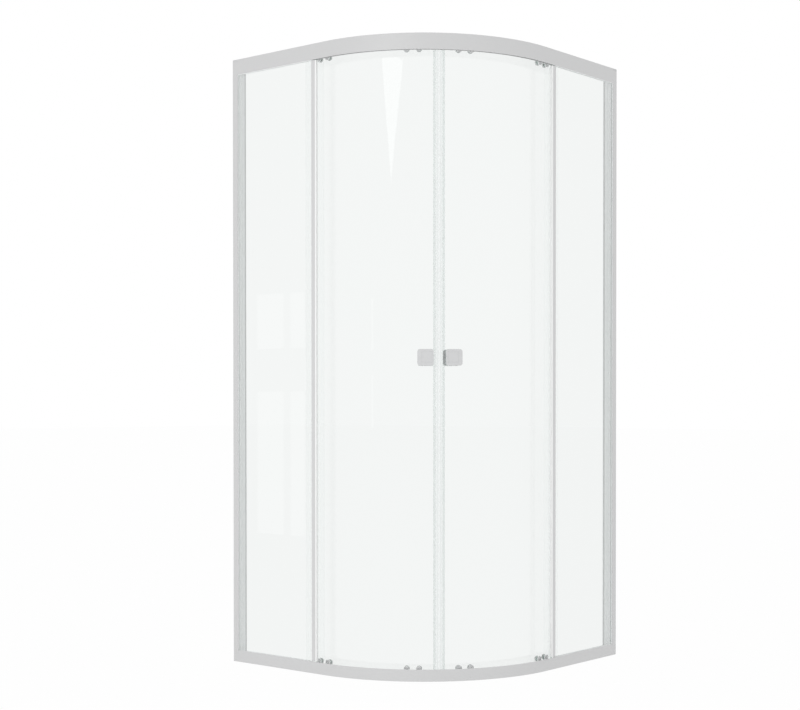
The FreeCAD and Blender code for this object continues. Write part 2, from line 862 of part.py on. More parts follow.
def glass_bolt(name, depth):
    """The bolt that clamps the pane: a round cap inside, and a barrel that fills the
    glass hole and seats on the bracket.  On the bow its cap beds deeper, because the
    pane's inner side is hollow there."""
    barrel = size("glass_hole") / 2 - size("running")
    cap = size("bolt_cap") / 2
    under = DOOR_BACK + depth
    high = under + size("bolt_cap_height")
    return lathe_body(name, [
        (0, high), (cap, high), (cap, under), (barrel, under),
        (barrel, size("door_in")), (0, size("door_in")),
    ])


def glass_bolts():
    """The eight bolts of a door, as separate solids of one sub-part."""
    bow_bed = bed(HALF_PITCH + size("bolt_cap") / 2)
    masters = (glass_bolt("bow_bolt", bow_bed), glass_bolt("flat_bolt", as_size(0)))
    places = bolt_places()
    bow = copies("bow_bolts", masters[0], places[0:2] + places[4:6])
    flat = copies("flat_bolts", masters[1], places[2:4] + places[6:8])
    both = doc.addObject("Part::Feature", "glass_bolts_group")
    both.Shape = Part.makeCompound(bow.Shape.Solids + flat.Shape.Solids)
    return both


def handle_face(body, outside, towards_out):
    """The rounded square plate of a handle, with its shallow dish."""
    half = size("handle_size") / 2
    up = size("handle_height")
    section = new_sketch(body, "XZ_Plane", -outside)
    draw_rectangle(section, -half, up - half, half, up + half)
    block = pad(body, section, size("handle_plate"), backwards=towards_out)
    doc.recompute()
    corners = []
    for i, edge in enumerate(block.Shape.Edges, start=1):
        if abs(edge.BoundBox.YLength - SIZES["handle_plate"]) < 0.01:
            corners.append(f"Edge{i}")
    rounding = body.newObject("PartDesign::Fillet", "Rounding")
    rounding.Base = (block, corners)
    rounding.Radius = SIZES["handle_corner"]
    rounding.setExpression("Radius", size("handle_corner").text)
    dish = new_sketch(body, "XZ_Plane", -outside)
    draw_rectangle(
        dish, -half + size("dish_far"), up - half + size("dish_bottom"),
        half - size("dish_meeting"), up + half - size("dish_top"))
    pocket(body, dish, size("handle_dish"), backwards=not towards_out)


def handle_neck(body, start, end):
    """The square neck between a handle's plate and the pane."""
    half = size("handle_neck") / 2
    up = size("handle_height")
    section = new_sketch(body, "XZ_Plane", -start)
    draw_rectangle(section, -half, up - half, half, up + half)
    pad(body, section, end - start, backwards=True)


def outer_handle():
    """The outer knob, with the stud that passes through the pane."""
    body = new_body("outer_handle")
    glass = size("door_in")
    face = glass - size("handle_reach")
    plate = face + size("handle_plate")
    stud_end = DOOR_BACK + size("handle_inner_reach") - size("handle_plate") - 2
    handle_face(body, face, True)
    handle_neck(body, plate, glass)
    stud = new_sketch(body, "XZ_Plane", -glass)
    draw_circle(stud, 0, size("handle_height"), size("stud"))
    pad(body, stud, stud_end - glass, backwards=True)
    body.Placement = bow_station(size("handle_angle"))
    return body


def inner_handle():
    """The inner knob, which screws on the outer one's stud."""
    body = new_body("inner_handle")
    foot = DOOR_BACK + bed(size("handle_neck") / 2)
    face = DOOR_BACK + size("handle_inner_reach")
    plate = face - size("handle_plate")
    handle_face(body, face, False)
    handle_neck(body, foot, plate)
    bore = new_sketch(body, "XZ_Plane", -foot)
    draw_circle(bore, 0, size("handle_height"), size("stud") + size("running") * 2)
    pocket(body, bore, plate - 1 - foot)
    body.Placement = bow_station(size("handle_angle"))
    return body


# ---------------------------------------------------------------- build

finish(top_rail(), "top_rail")
finish(bottom_rail(), "bottom_rail")
pair("wall_channel", wall_channel())
pair("post", post())
pair("corner_cap", corner_cap())
pair("fixed_glass", fixed_glass())
pair("glazing_gasket", glazing_gasket())
pair("edge_profile", edge_profile())
pair("edge_seal", edge_seal())
rail_screws()
door_stops()

pair("door_glass", door_glass())
pair("magnet_seal", magnet_seal())
pair("tail_seal", tail_seal())
pair("outer_handle", outer_handle())
pair("inner_handle", inner_handle())

levels = (("top", BOLT_TOP, WHEEL_TOP), ("bottom", BOLT_FOOT, WHEEL_FOOT))
for level, bolt_up, wheel_up in levels:
    master = bracket(f"{level}_bracket", bolt_up, wheel_up)
    pair(f"{level}_roller_brackets", copies(f"{level}_brackets", master, [LEAD, TAIL]))
    for end, station in (("lead", LEAD), ("tail", TAIL)):
        name = f"{level}_{end}_wheel"
        pair(name, wheel(name, moved(station, 0, wheel_up.number)))
pair("glass_bolts", glass_bolts())

# ---------------------------------------------------------------- check and write

doc.recompute()
for obj in doc.Objects:
    if "Invalid" in obj.State or "Error" in obj.State:
        raise RuntimeError(f"{obj.Label} failed: {obj.State}")
for name, obj in parts:
    if obj.Shape.isNull() or not obj.Shape.isValid():
        raise RuntimeError(f"{name} has no valid shape")

os.makedirs("parts", exist_ok=True)
for name, obj in parts:
    obj.Shape.exportStep(f"parts/{name}.step")
    box = obj.Shape.BoundBox
    print(f"{name}: {len(obj.Shape.Solids)} solids, {obj.Shape.Volume:.0f} mm3, "
          f"x {box.XMin:.1f}..{box.XMax:.1f} y {box.YMin:.1f}..{box.YMax:.1f} "
          f"z {box.ZMin:.1f}..{box.ZMax:.1f}")
print(len(parts), "sub-parts")
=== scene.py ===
# %% [markdown]
# # A quadrant shower enclosure
#
# The real object stands in the corner of a bathroom.  Two fixed panes run along the
# walls, and two bent doors close the bow between them.  The aluminium pieces, the
# panes, the handles and the roller brackets come ready shaped from the packed
# model, in metres, so this lesson is mostly about finishes and light, and about the
# small turned and moulded pieces that repeat.

# %% Load the imported model
import json

import bpy
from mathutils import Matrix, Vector


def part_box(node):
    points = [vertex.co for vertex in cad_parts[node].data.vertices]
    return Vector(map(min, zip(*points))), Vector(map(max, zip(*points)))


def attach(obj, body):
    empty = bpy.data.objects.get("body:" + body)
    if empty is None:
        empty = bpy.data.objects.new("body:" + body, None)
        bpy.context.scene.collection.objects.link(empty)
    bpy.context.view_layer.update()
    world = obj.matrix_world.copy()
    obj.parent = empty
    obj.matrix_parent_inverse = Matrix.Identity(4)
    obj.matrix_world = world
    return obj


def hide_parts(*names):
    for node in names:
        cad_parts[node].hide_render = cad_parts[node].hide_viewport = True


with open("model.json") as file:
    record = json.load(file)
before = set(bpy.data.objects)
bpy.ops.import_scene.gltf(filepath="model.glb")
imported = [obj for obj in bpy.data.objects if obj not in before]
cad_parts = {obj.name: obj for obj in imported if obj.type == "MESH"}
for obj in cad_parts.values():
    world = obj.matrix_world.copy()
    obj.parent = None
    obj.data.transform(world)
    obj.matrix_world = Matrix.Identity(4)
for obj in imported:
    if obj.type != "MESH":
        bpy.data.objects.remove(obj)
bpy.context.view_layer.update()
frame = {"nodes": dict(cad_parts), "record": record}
scene = bpy.context.scene

# %% [markdown]
# ## The camera
#
# The enclosure was photographed from in front of its right half, a little below
# the middle of its height, with upright lines that stay parallel.  That needs a
# camera held level whose lens is shifted, as an architect's camera is, and not one
# that is tilted.  This one looks down by less than a degree.

# %% Camera
CAMERA_PLACE = (3.1414, -3.7939, 0.8377)
CAMERA_LOOKS = (-0.6309, 0.7757, -0.01336)


def put_in_scene(name, data):
    """An object for a camera, a lamp or a mesh, linked to the scene."""
    thing = bpy.data.objects.new(name, data)
    scene.collection.objects.link(thing)
    return thing


camera_data = bpy.data.cameras.new("camera")
camera_data.lens = 67.29
camera_data.sensor_width = 36.0
camera_data.shift_x = -0.0505
camera_data.shift_y = 0.0859
camera_data.clip_end = 60.0
camera = put_in_scene("camera", camera_data)
camera.location = CAMERA_PLACE
camera.rotation_euler = Vector(CAMERA_LOOKS).to_track_quat("-Z", "Y").to_euler()
scene.camera = camera
print("camera is", round(camera.location.xy.length, 2), "m from the middle")

# %% [markdown]
# ## Nodes without clutter
#
# Every material here is a small tree of nodes.  A few helpers keep the trees short:
# they add a node with its settings, link it or set it, and start a material.

# %% Helpers for node trees


def set_up(node, settings):
    """Give a node its settings: its own properties, or its sockets' values by label."""
    for label, value in settings.items():
        if hasattr(node, label):
            setattr(node, label, value)
        else:
            node.inputs[label.replace("_", " ")].default_value = value
    return node


def add(tree, kind, **settings):
    """Add a node with its settings."""
    return set_up(tree.nodes.new(kind), settings)


def join(tree, source, target, label):
    """Link a socket to the input of that label or number on another node."""
    tree.links.new(source, target.inputs[label])


def feed(tree, value, target, label):
    """Link a socket to an input, or set that input where value is a plain one."""
    if isinstance(value, bpy.types.NodeSocket):
        join(tree, value, target, label)
    else:
        target.inputs[label].default_value = value


def new_finish(name, **settings):
    """Start a material; gives it, its tree and its main shader with the settings."""
    material = bpy.data.materials.new(name)
    material.use_nodes = True
    tree = material.node_tree
    return material, tree, set_up(tree.nodes["Principled BSDF"], settings)


def calculate(tree, operation, *parts):
    """The result of a Math node on parts that are numbers or sockets."""
    node = add(tree, "ShaderNodeMath", operation=operation)
    for row, part in enumerate(parts):
        feed(tree, part, node, row)
    return node.outputs[0]


def spread(tree, value, low, high, start=0.0, end=1.0):
    """Carry a value from start..end over to low..high."""
    ranged = add(tree, "ShaderNodeMapRange", From_Min=start, From_Max=end,
                 To_Min=low, To_Max=high)
    join(tree, value, ranged, "Value")
    return ranged.outputs["Result"]


print("helpers for node trees ready")

# %% [markdown]
# ## Patterns that stay on their piece
#
# All patterns read Object coordinates, which are metres on the piece itself, so a
# pattern stays where it is when a door slides.  For the same reason a surface's
# direction is turned from the room's axes to those of its piece.

# %% Helpers for patterns


def place_on_piece(tree, scale=(1.0, 1.0, 1.0)):
    """Object coordinates in metres, stretched by scale."""
    mapping = add(tree, "ShaderNodeMapping", Scale=scale)
    join(tree, add(tree, "ShaderNodeTexCoord").outputs["Object"], mapping, "Vector")
    return mapping.outputs["Vector"]


def direction_on_piece(tree):
    """The way a surface faces, by the axes of its piece."""
    turned = add(tree, "ShaderNodeVectorTransform", vector_type="NORMAL",
                 convert_from="WORLD", convert_to="OBJECT")
    join(tree, add(tree, "ShaderNodeNewGeometry").outputs["True Normal"], turned, "Vector")
    return turned.outputs["Vector"]


def by_axis(tree, vector):
    """What a vector measures along each axis, by the labels X, Y and Z."""
    split = add(tree, "ShaderNodeSeparateXYZ")
    join(tree, vector, split, "Vector")
    return split.outputs


def speckle(tree, where, scale, detail=2.0, roughness=0.5):
    """Soft noise from 0 to 1 at the given number of grains per metre."""
    noise = add(tree, "ShaderNodeTexNoise", Scale=scale, Detail=detail, Roughness=roughness)
    join(tree, where, noise, "Vector")
    return noise.outputs["Fac"]


def tinted(colour, factor):
    """A colour made darker or paler by a factor, up to white."""
    return tuple(min(1.0, part * factor) for part in colour)


def blend_colours(tree, share, first, second):
    """A colour that goes from first to second as share goes from 0 to 1.

    Each of the two is either red, green and blue, or a socket that gives a colour."""
    mix = add(tree, "ShaderNodeMix", data_type="RGBA")
    join(tree, share, mix, 0)
    for number, colour in ((6, first), (7, second)):
        feed(tree, (*colour, 1.0) if isinstance(colour, tuple) else colour, mix, number)
    return mix.outputs[2]


def raise_surface(tree, shader, height, strength, distance):
    """Use a height as bump on the shader."""
    bump = add(tree, "ShaderNodeBump", Strength=strength, Distance=distance)
    join(tree, height, bump, "Height")
    join(tree, bump.outputs["Normal"], shader, "Normal")


print("helpers for patterns ready")

# %% [markdown]
# ## Anodised aluminium
#
# The rails, channels and posts are extruded, etched and anodised.  Pushing the
# metal through a die leaves faint lines along its length, which the etching
# softens to a satin.  On an upright channel these lines run along Z.  On a rail
# they follow the wall, the bow and the other wall, so one flat direction won't do.
# Here the distance from the rail's own curve is worked out in the nodes, and the
# noise is drawn across it and up: everything on one line of the die then gets the
# same shade, round the bow as well.
#
# First come the measures that the nodes need: the reach from the bow's centre line,
# a point that runs along with the rail, and the run along a fixed pane.

# %% Measures on rails and panes
SIDE = 0.895             # from a wall to the outer face of the other panel
BOW_RADIUS = 0.487       # outer face of the bow
BOW_CENTRE = (SIDE / 2 - BOW_RADIUS, BOW_RADIUS - SIDE / 2)


def as_point(tree, *parts):
    """A point from what it measures along X, Y and Z, in numbers or sockets."""
    point = add(tree, "ShaderNodeCombineXYZ")
    for row, part in enumerate(parts):
        feed(tree, part, point, row)
    return point.outputs[0]


def run_of_pane(tree):
    """How far a point lies along its fixed pane, counted towards the doors."""
    axes = by_axis(tree, place_on_piece(tree))
    return calculate(tree, "MINIMUM", axes["X"], calculate(tree, "MULTIPLY", axes["Y"], -1.0))


def reach_on_rail(tree, axes):
    """How far a point lies from the bow's centre, or from its line beside a wall."""
    beyond = []
    for axis, sign, centre in (("X", 1, BOW_CENTRE[0]), ("Y", -1, BOW_CENTRE[1])):
        away = calculate(tree, "MULTIPLY_ADD", axes[axis], sign, -sign * centre)
        beyond.append(calculate(tree, "MAXIMUM", away, 0.0))
    reach = add(tree, "ShaderNodeVectorMath", operation="LENGTH")
    join(tree, as_point(tree, *beyond), reach, 0)
    return reach.outputs["Value"]


def lines_of_rail(tree):
    """Where a point lies across the rail and up, drifting slowly on the way round."""
    axes = by_axis(tree, place_on_piece(tree))
    drift = spread(tree, calculate(tree, "ADD", axes["X"], axes["Y"]),
                   low=-0.004, high=0.004, start=-1.0, end=1.0)
    return as_point(tree, reach_on_rail(tree, axes), axes["Z"], drift)


def facing_down(tree):
    """How squarely a surface faces the floor, from -1 to 1."""
    product = add(tree, "ShaderNodeVectorMath", operation="DOT_PRODUCT")
    join(tree, direction_on_piece(tree), product, 0)
    product.inputs[1].default_value = (0.0, 0.0, -1.0)
    return product.outputs["Value"]


print("the bow's centre lies at", [round(part, 4) for part in BOW_CENTRE])

# %% [markdown]
# The same reach serves the posts, whose aluminium is painted paler than the other
# uprights, as painted light.  Behind the bead on a post's side runs a shallow groove
# in which hardly any light arrives, and painted shade darkens it.  A rail's underside
# is painted paler, as painted light from the white tray below.  The last few
# millimetres of the strip on a pane's free edge are painted pale, as painted light on
# its end, and the nodes find that end by measuring along the pane.

# %% Extruded finishes
SATIN_SHARE = 0.4        # the oxide film scatters the rest of the light
DIE_LINES = 900.0        # grains in a metre across the extrusion
ALONG_UPRIGHT = (1.0, 1.0, 0.006)    # up and down they hardly change
LINES_SHARE = 0.6        # slow clouds make up the rest of the unevenness
PAINTED_UNDERSIDE_LIGHT = 1.45   # painted light on a rail's underside, beside its other faces
PAINTED_GROOVE_SHADE = 0.72      # painted shade in a post's groove, beside its other faces
GROOVE_START = BOW_RADIUS - 0.031    # the groove begins 31 mm inside the outer face
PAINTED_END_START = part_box("left_edge_profile")[1][0] - 0.0046    # the last 4.6 mm of a strip are painted pale, as painted light on its end


def anodised(name, colour, follow_rail=False, groove=False, painted_end_light=None):
    """Satin aluminium with die lines along its length.

    On a rail the underside is painted paler, as painted light.  It can have painted shade
    in a post's groove, or a strip's end painted pale in the given colour as painted light."""
    material, tree, metal = new_finish(name, Metallic=SATIN_SHARE)
    across = lines_of_rail(tree) if follow_rail else place_on_piece(tree, ALONG_UPRIGHT)
    lines = speckle(tree, across, DIE_LINES)
    clouds = speckle(tree, place_on_piece(tree), 14.0, detail=3.0, roughness=0.6)
    slow = spread(tree, clouds, 0.0, 1.0 - LINES_SHARE)
    uneven = calculate(tree, "MULTIPLY_ADD", lines, LINES_SHARE, slow)
    shade = blend_colours(tree, uneven, tinted(colour, 0.97), tinted(colour, 1.03))
    # painted shade: a post's groove behind its bead is drawn darker
    if groove:
        reach = reach_on_rail(tree, by_axis(tree, place_on_piece(tree)))
        inside = spread(tree, reach, 1.0, 0.0, start=GROOVE_START - 0.001, end=GROOVE_START)
        shade = blend_colours(tree, inside, shade, tinted(colour, PAINTED_GROOVE_SHADE))
    # painted light: a rail's underside is drawn paler, as if lit from the white floor
    if follow_rail:
        painted_underside_light = spread(tree, facing_down(tree), 0.0, 1.0, start=0.4, end=0.6)
        shade = blend_colours(tree, painted_underside_light, shade, tinted(colour, PAINTED_UNDERSIDE_LIGHT))
    # painted light: the last 4.6 mm of an edge strip are drawn pale, as light on its end
    if painted_end_light:
        on_painted_end = spread(tree, run_of_pane(tree), 0.0, 1.0,
                        start=PAINTED_END_START - 0.0003, end=PAINTED_END_START)
        shade = blend_colours(tree, on_painted_end, shade, painted_end_light)
    join(tree, shade, metal, "Base Color")
    join(tree, spread(tree, uneven, 0.34, 0.46), metal, "Roughness")
    raise_surface(tree, metal, lines, strength=0.08, distance=0.0002)
    return material


finishes = {
    "rail": anodised("anodised rail", (0.64, 0.642, 0.645), follow_rail=True),
    "upright": anodised("anodised upright", (0.64, 0.642, 0.645)),
    # painted light: the posts' aluminium is drawn paler than the other uprights, to lift the
    # shade on their sides
    "inner upright": anodised("inner upright, painted paler", (0.87, 0.875, 0.88), groove=True),
    # the strip's end is painted pale in this colour, as painted light
    "edge strip": anodised("edge strip", (0.66, 0.662, 0.665), painted_end_light=(0.94, 0.945, 0.94)),
}
print("extruded finishes:", sorted(finishes))

# %% [markdown]
# ## Clear glass with green edges
#
# A pane is clear through its faces and green through its edges, because light that
# reaches an edge has travelled a long way in the glass.  A solid glass shader would
# trace all that, but it keeps the lamps from lighting whatever stands behind a pane.
# Five millimetres of glass hardly bend the view, so each face here lets light
# straight through with a slight tint and mirrors the share that Fresnel's rule
# gives.  As the light isn't bent on its way in, the rule is told at the far face that
# it looks into glass again, or it would find a total reflection there.
#
# An edge is found by the direction it faces, which is up, down or along the pane.
# On the bow that is where x and y of the direction have the same sign, which they
# never have on a face.

# %% Faces and edges of a pane
GLASS_IOR = 1.5
ALONG_BOW = 0.1      # the least that x times y gives on an edge of the bow
ALONG_WALL = 0.85    # the least of x or y on an edge of the straight run
UP_OR_DOWN = 0.5     # the least of z on an upper or lower edge


def largest(tree, sockets):
    """The largest of the values of several sockets."""
    total = sockets[0]
    for socket in sockets[1:]:
        total = calculate(tree, "MAXIMUM", total, socket)
    return total


def edge_share(tree, along):
    """1 on a pane's edges and 0 on its faces; along is the axis of its straight run."""
    facing = by_axis(tree, direction_on_piece(tree))
    product = calculate(tree, "MULTIPLY", facing["X"], facing["Y"])
    edges = [calculate(tree, "GREATER_THAN", product, ALONG_BOW)]
    for axis, least in ((along, ALONG_WALL), ("Z", UP_OR_DOWN)):
        size = calculate(tree, "ABSOLUTE", facing[axis])
        edges.append(calculate(tree, "GREATER_THAN", size, least))
    return largest(tree, edges)


def mirrored_share(tree):
    """What Fresnel's rule mirrors at either face of thin glass."""
    behind = add(tree, "ShaderNodeNewGeometry").outputs["Backfacing"]
    fresnel = add(tree, "ShaderNodeFresnel")
    join(tree, spread(tree, behind, GLASS_IOR, 1 / GLASS_IOR), fresnel, "IOR")
    return fresnel.outputs[0]


print("head on, one face mirrors", round(((GLASS_IOR - 1) / (GLASS_IOR + 1)) ** 2, 3))

# %% [markdown]
# An edge is ground, green and half clear.  On the faces dried water leaves soft
# clouds that change only the gloss.  The two sides differ in the axis along which
# the straight run of their panes lies.

# %% Glass
FACE_TINT = (0.960, 0.969, 0.965)    # what one face lets through
EDGE_COLOUR = (0.42, 0.66, 0.57)
EDGE_SOLID = 0.55                    # the share of a ground edge that isn't clear
WATER_GLOSS = 0.035                  # the roughest that dried water makes a face


def mix_shaders(tree, share, first, second):
    """A shader that goes from first to second as share goes from 0 to 1."""
    mix = add(tree, "ShaderNodeMixShader")
    for row, value in enumerate((share, first, second)):
        feed(tree, value, mix, row)
    return mix.outputs[0]


def finish_with(tree, shader):
    """Let a shader be what the surface shows."""
    join(tree, shader, tree.nodes["Material Output"], "Surface")


def glass(name, along):
    """A pane: tinted and clear with a mirror's share on its faces, ground on its edges."""
    material, tree, ground = new_finish(name, Roughness=0.45, Alpha=EDGE_SOLID,
                                        Base_Color=(*EDGE_COLOUR, 1.0))
    clear = add(tree, "ShaderNodeBsdfTransparent", Color=(*FACE_TINT, 1.0))
    mirror = add(tree, "ShaderNodeBsdfGlossy")
    clouds = speckle(tree, place_on_piece(tree), 9.0, detail=4.0, roughness=0.6)
    join(tree, spread(tree, clouds, 0.0, WATER_GLOSS, start=0.45, end=0.75), mirror, "Roughness")
    face = mix_shaders(tree, mirrored_share(tree), clear.outputs[0], mirror.outputs[0])
    finish_with(tree, mix_shaders(tree, edge_share(tree, along), face, ground.outputs[0]))
    return material


for side, axis in (("left", "X"), ("right", "Y")):
    finishes[f"{side} glass"] = glass(f"{side} glass", axis)
print("glass for a straight run along X and along Y")

# %% [markdown]
# ## Seals, rubber, plastic
#
# The seals are extruded clear plastic, a little milky: every wall takes some of the
# light that goes straight through, so a seal looks greyer where more of its walls lie
# behind each other, and a painted glow stands in for what its walls give back from all
# around.  A small share meets a soft white surface with faint lines along its length.
# The fins are clearer still, and have no glow.  The glazing rubber is pale, and a
# painted glow lifts the shade in its slot beside the pane.  The stops are matt, with
# the fine grain of a moulded surface.

# %% Seals, rubber and plastic
PLASTIC_IOR = 1.48
SOLID_SHARE = 0.03    # what a clear wall shows of its own surface


def soft_plastic(name, colour, rough, grain, stretch=1.0, painted_glow=0.0, clear=None):
    """Plastic or rubber with a grain that stretch draws out along Z.

    The emission strength is a painted glow that stands in for light given back from
    inside, and clear, where given, is the tint of one wall that lets light straight through."""
    # the emission is a painted glow, standing in for light given back from inside
    material, tree, shader = new_finish(name, IOR=PLASTIC_IOR, Emission_Strength=painted_glow,
                                        Emission_Color=(1.0, 1.0, 1.0, 1.0))
    where = place_on_piece(tree, (1.0, 1.0, stretch))
    grains = speckle(tree, where, grain, detail=3.0, roughness=0.6)
    shade = blend_colours(tree, grains, tinted(colour, 0.93), tinted(colour, 1.05))
    join(tree, shade, shader, "Base Color")
    join(tree, spread(tree, grains, rough - 0.05, rough + 0.08), shader, "Roughness")
    raise_surface(tree, shader, grains, strength=0.06, distance=0.0001)
    if clear:
        through = add(tree, "ShaderNodeBsdfTransparent", Color=(*clear, 1.0))
        # painted glow in each clear wall, standing in for light scattered back by the plastic
        painted_glow_shader = add(tree, "ShaderNodeEmission", Strength=painted_glow)
        milky = add(tree, "ShaderNodeAddShader")
        join(tree, through.outputs[0], milky, 0)
        join(tree, painted_glow_shader.outputs[0], milky, 1)
        finish_with(tree, mix_shaders(tree, SOLID_SHARE, milky.outputs[0], shader.outputs[0]))
    return material


# the seal's small emission is a painted glow
finishes["seal"] = soft_plastic("milky seal", (0.93, 0.945, 0.945), 0.22, 500.0, stretch=0.01,
                                painted_glow=0.038, clear=(0.915, 0.923, 0.921))
finishes["lip"] = soft_plastic("clear lip", (0.95, 0.965, 0.965), 0.12, 500.0, stretch=0.01,
                               clear=(0.990, 0.994, 0.993))
# the rubber's emission is a painted glow that lifts the shade in its slot
finishes["gasket"] = soft_plastic("glazing rubber", (0.82, 0.83, 0.83), 0.5, 900.0,
                                  painted_glow=0.12)
finishes["cap"] = soft_plastic("moulded cap", (0.60, 0.605, 0.61), 0.38, 2500.0)
finishes["nylon"] = soft_plastic("wheel nylon", (0.82, 0.82, 0.80), 0.35, 1200.0)
finishes["stop"] = soft_plastic("stop rubber", (0.05, 0.05, 0.05), 0.55, 1500.0)
print("seals, rubber and plastic:", len(finishes), "finishes so far")

# %% [markdown]
# ## Plated and brushed metal
#
# The handles are plated to a satin, the roller brackets are stamped and brushed,
# and the bolt caps are polished.  The same tree does for all: fine scratches in one
# direction over slow clouds of uneven polish.  A satin mirrors only a part of what
# is around it and scatters the rest, so it keeps some brightness in the shade.  The
# handle inside is painted paler, as painted light against the shade of the one outside.

# %% Plated metal
SCRATCHES = 1600.0              # in a metre
UPRIGHT = (1.0, 1.0, 0.02)      # brushed up and down
LEVEL = (0.03, 0.03, 1.0)       # brushed from side to side
EVEN = (1.0, 1.0, 1.0)


def plated(name, colour, rough, brushed=EVEN, scratch=0.06, mirrored=1.0):
    """Metal with fine scratches the way it is brushed.

    scratch is how deep they look, and mirrored is the share that isn't scattered."""
    material, tree, metal = new_finish(name, Metallic=mirrored)
    scratches = speckle(tree, place_on_piece(tree, brushed), SCRATCHES)
    clouds = speckle(tree, place_on_piece(tree), 60.0, detail=3.0, roughness=0.55)
    shade = blend_colours(tree, clouds, tinted(colour, 0.95), tinted(colour, 1.04))
    join(tree, shade, metal, "Base Color")
    join(tree, spread(tree, scratches, rough - 0.05, rough + 0.07), metal, "Roughness")
    raise_surface(tree, metal, scratches, strength=scratch, distance=0.0001)
    return material


finishes["handle"] = plated("satin chrome", (0.645, 0.65, 0.655), 0.32, UPRIGHT, mirrored=0.2)
# painted light: the inner handle is drawn paler than the outer one, against the shade it stands
# in
finishes["inner handle"] = plated("inner satin chrome, painted paler", (0.80, 0.805, 0.81), 0.32, UPRIGHT,
                                  mirrored=0.1)
finishes["bracket"] = plated("brushed steel", (0.80, 0.805, 0.81), 0.36, LEVEL, mirrored=0.3)
finishes["bolt"] = plated("polished cap", (0.74, 0.745, 0.75), 0.18, scratch=0.03, mirrored=0.5)
finishes["screw"] = plated("zinc screw", (0.45, 0.46, 0.47), 0.4)
finishes["bolt head"] = plated("polished head", (0.88, 0.885, 0.89), 0.22, scratch=0.03,
                               mirrored=0.5)
finishes["bearing"] = plated("ground bearing steel", (0.56, 0.565, 0.57), 0.25, scratch=0.04)
print("all finishes:", sorted(finishes))

# %% [markdown]
# ## Which piece gets which finish
#
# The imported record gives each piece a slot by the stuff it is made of.  A small
# table goes from slot to finish.  A second one names the pieces that have a finish
# of their own: the bent rails, the posts, the edge strips, the clear fins beside
# the panes and the handles inside.

# %% Put the finishes on the pieces
finish_of_slot = {
    "frame_aluminium": "upright",
    "cap_plastic": "cap",
    "clear_glass": "glass",
    "clear_seal": "seal",
    "gasket_rubber": "gasket",
    "handle_chrome": "handle",
    "bracket_steel": "bracket",
    "bolt_metal": "bolt",
    "wheel_nylon": "nylon",
    "screw_steel": "screw",
    "stop_rubber": "stop",
}
finish_of_piece = {
    "rail": "rail",
    "post": "inner upright",
    "edge_profile": "edge strip",
    "tail_seal": "lip",
    "edge_seal": "lip",
    "inner_handle": "inner handle",
}
slot_of_node = {row["node"]: row["material_slot"] for row in frame["record"]["subparts"]}
for name, piece in frame["nodes"].items():
    side, kind = name.split("_", 1)
    chosen = finish_of_piece.get(kind, finish_of_slot[slot_of_node[name]])
    if chosen == "glass":
        chosen = f"{side} glass"
    for slot in piece.material_slots:
        slot.material = finishes[chosen]
print("finishes on", len(slot_of_node), "pieces")

# %% [markdown]
# ## Turned pieces by rule
#
# Each door hangs on four roller brackets.  A bracket grips the pane with two bolts,
# whose caps show on the inside, and its wheel turns on a small shielded bearing.
# All of these are lathe work: one outline carried round an axis.  Geometry Nodes
# can say that as a rule.  The corners of the outline are named sizes, every corner
# is rounded, the outline is swept round a small circle and welded on the axis, and
# the finished piece is put wherever a place is given, with its axis along the way
# out at that place.  So one tree stands for a whole family of pieces, and a size is
# changed in one number.

# %% Turning an outline
LATHE = 0.01          # radius of the circle that the outline is swept round
TURN_STEPS = 40
ROUNDING_STEPS = 3
WELD = 1e-6           # corners of the mesh that lie closer than this become one


def outline_through(tree, given, corners):
    """A curve through corners, each given by the names of two sizes.

    The first counts out from the axis.  The second counts inwards along it, against
    the way out.  An empty name stands for 0."""
    line = add(tree, "GeometryNodeCurvePrimitiveLine")
    points = add(tree, "GeometryNodeResampleCurve", Count=len(corners))
    join(tree, line.outputs[0], points, "Curve")
    choose = add(tree, "GeometryNodeIndexSwitch", data_type="VECTOR")
    join(tree, add(tree, "GeometryNodeInputIndex").outputs[0], choose, "Index")
    for row, corner in enumerate(corners):
        if row >= len(choose.index_switch_items):
            choose.index_switch_items.new()
        point = as_point(tree, *(given[size] if size else 0.0 for size in corner))
        join(tree, point, choose, row + 1)
    placed = add(tree, "GeometryNodeSetPosition")
    join(tree, points.outputs[0], placed, "Geometry")
    join(tree, choose.outputs[0], placed, "Position")
    return placed.outputs[0]


def turned_piece(tree, given, corners):
    """The rounded outline carried round the axis and welded on it."""
    rounded = add(tree, "GeometryNodeFilletCurve", mode="POLY", Count=ROUNDING_STEPS,
                  Limit_Radius=True)
    join(tree, outline_through(tree, given, corners), rounded, "Curve")
    join(tree, given["Rounding"], rounded, "Radius")
    shifted = add(tree, "GeometryNodeTransform", Translation=(-LATHE, 0.0, 0.0))
    join(tree, rounded.outputs[0], shifted, "Geometry")
    circle = add(tree, "GeometryNodeCurvePrimitiveCircle", Resolution=TURN_STEPS, Radius=LATHE)
    level = add(tree, "GeometryNodeSetCurveNormal", mode="Z_UP")
    join(tree, circle.outputs[0], level, "Curve")
    swept = add(tree, "GeometryNodeCurveToMesh")
    join(tree, level.outputs[0], swept, "Curve")
    join(tree, shifted.outputs[0], swept, "Profile Curve")
    welded = add(tree, "GeometryNodeMergeByDistance", Distance=WELD)
    join(tree, swept.outputs[0], welded, "Geometry")
    return welded.outputs[0]


print("a turned piece has", TURN_STEPS, "steps round and", ROUNDING_STEPS, "in a corner")

# %% [markdown]
# The rule itself has an input for the places, one for every size in the outline,
# and one for the finish.

# %% The lathe rule


